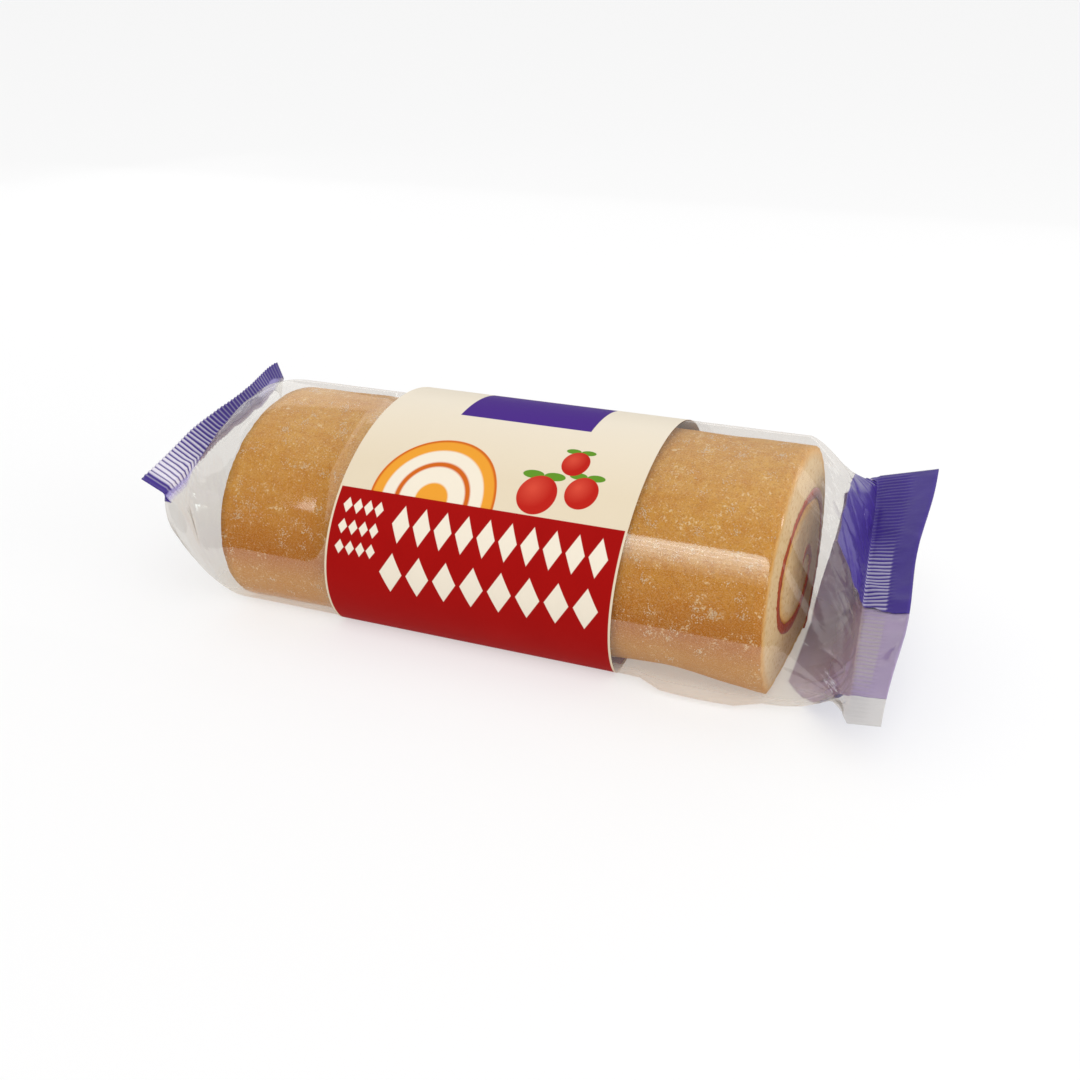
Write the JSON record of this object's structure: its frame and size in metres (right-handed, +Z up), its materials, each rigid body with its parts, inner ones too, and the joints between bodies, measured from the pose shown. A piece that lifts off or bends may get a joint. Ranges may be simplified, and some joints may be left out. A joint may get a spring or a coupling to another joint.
{
  "type": "packed jam swiss roll",
  "caption": "Whole jam swiss roll lying in a sealed clear film pack with a printed band round it and a flat crimped seal at each end.",
  "frame": {"origin": "middle of the pack's bounding box at the table it lies on", "axes": "+X along the roll towards the end whose cut face shows, -Y towards the front of the pack, +Z up"},
  "size_m": [0.2556, 0.112, 0.0745],
  "materials": {
    "pack_film": "clear glossy film over golden sponge cake",
    "printed_film": "glossy film printed with fields of cream, red and purple",
    "sponge": "soft matt sponge crumb with a golden brown skin",
    "jam": "dark red jam, slightly wet",
    "sugar": "fine white sugar dusting"
  },
  "bodies": {
    "root": {"film_pack": "pack_film"}
  },
  "joints": []
}
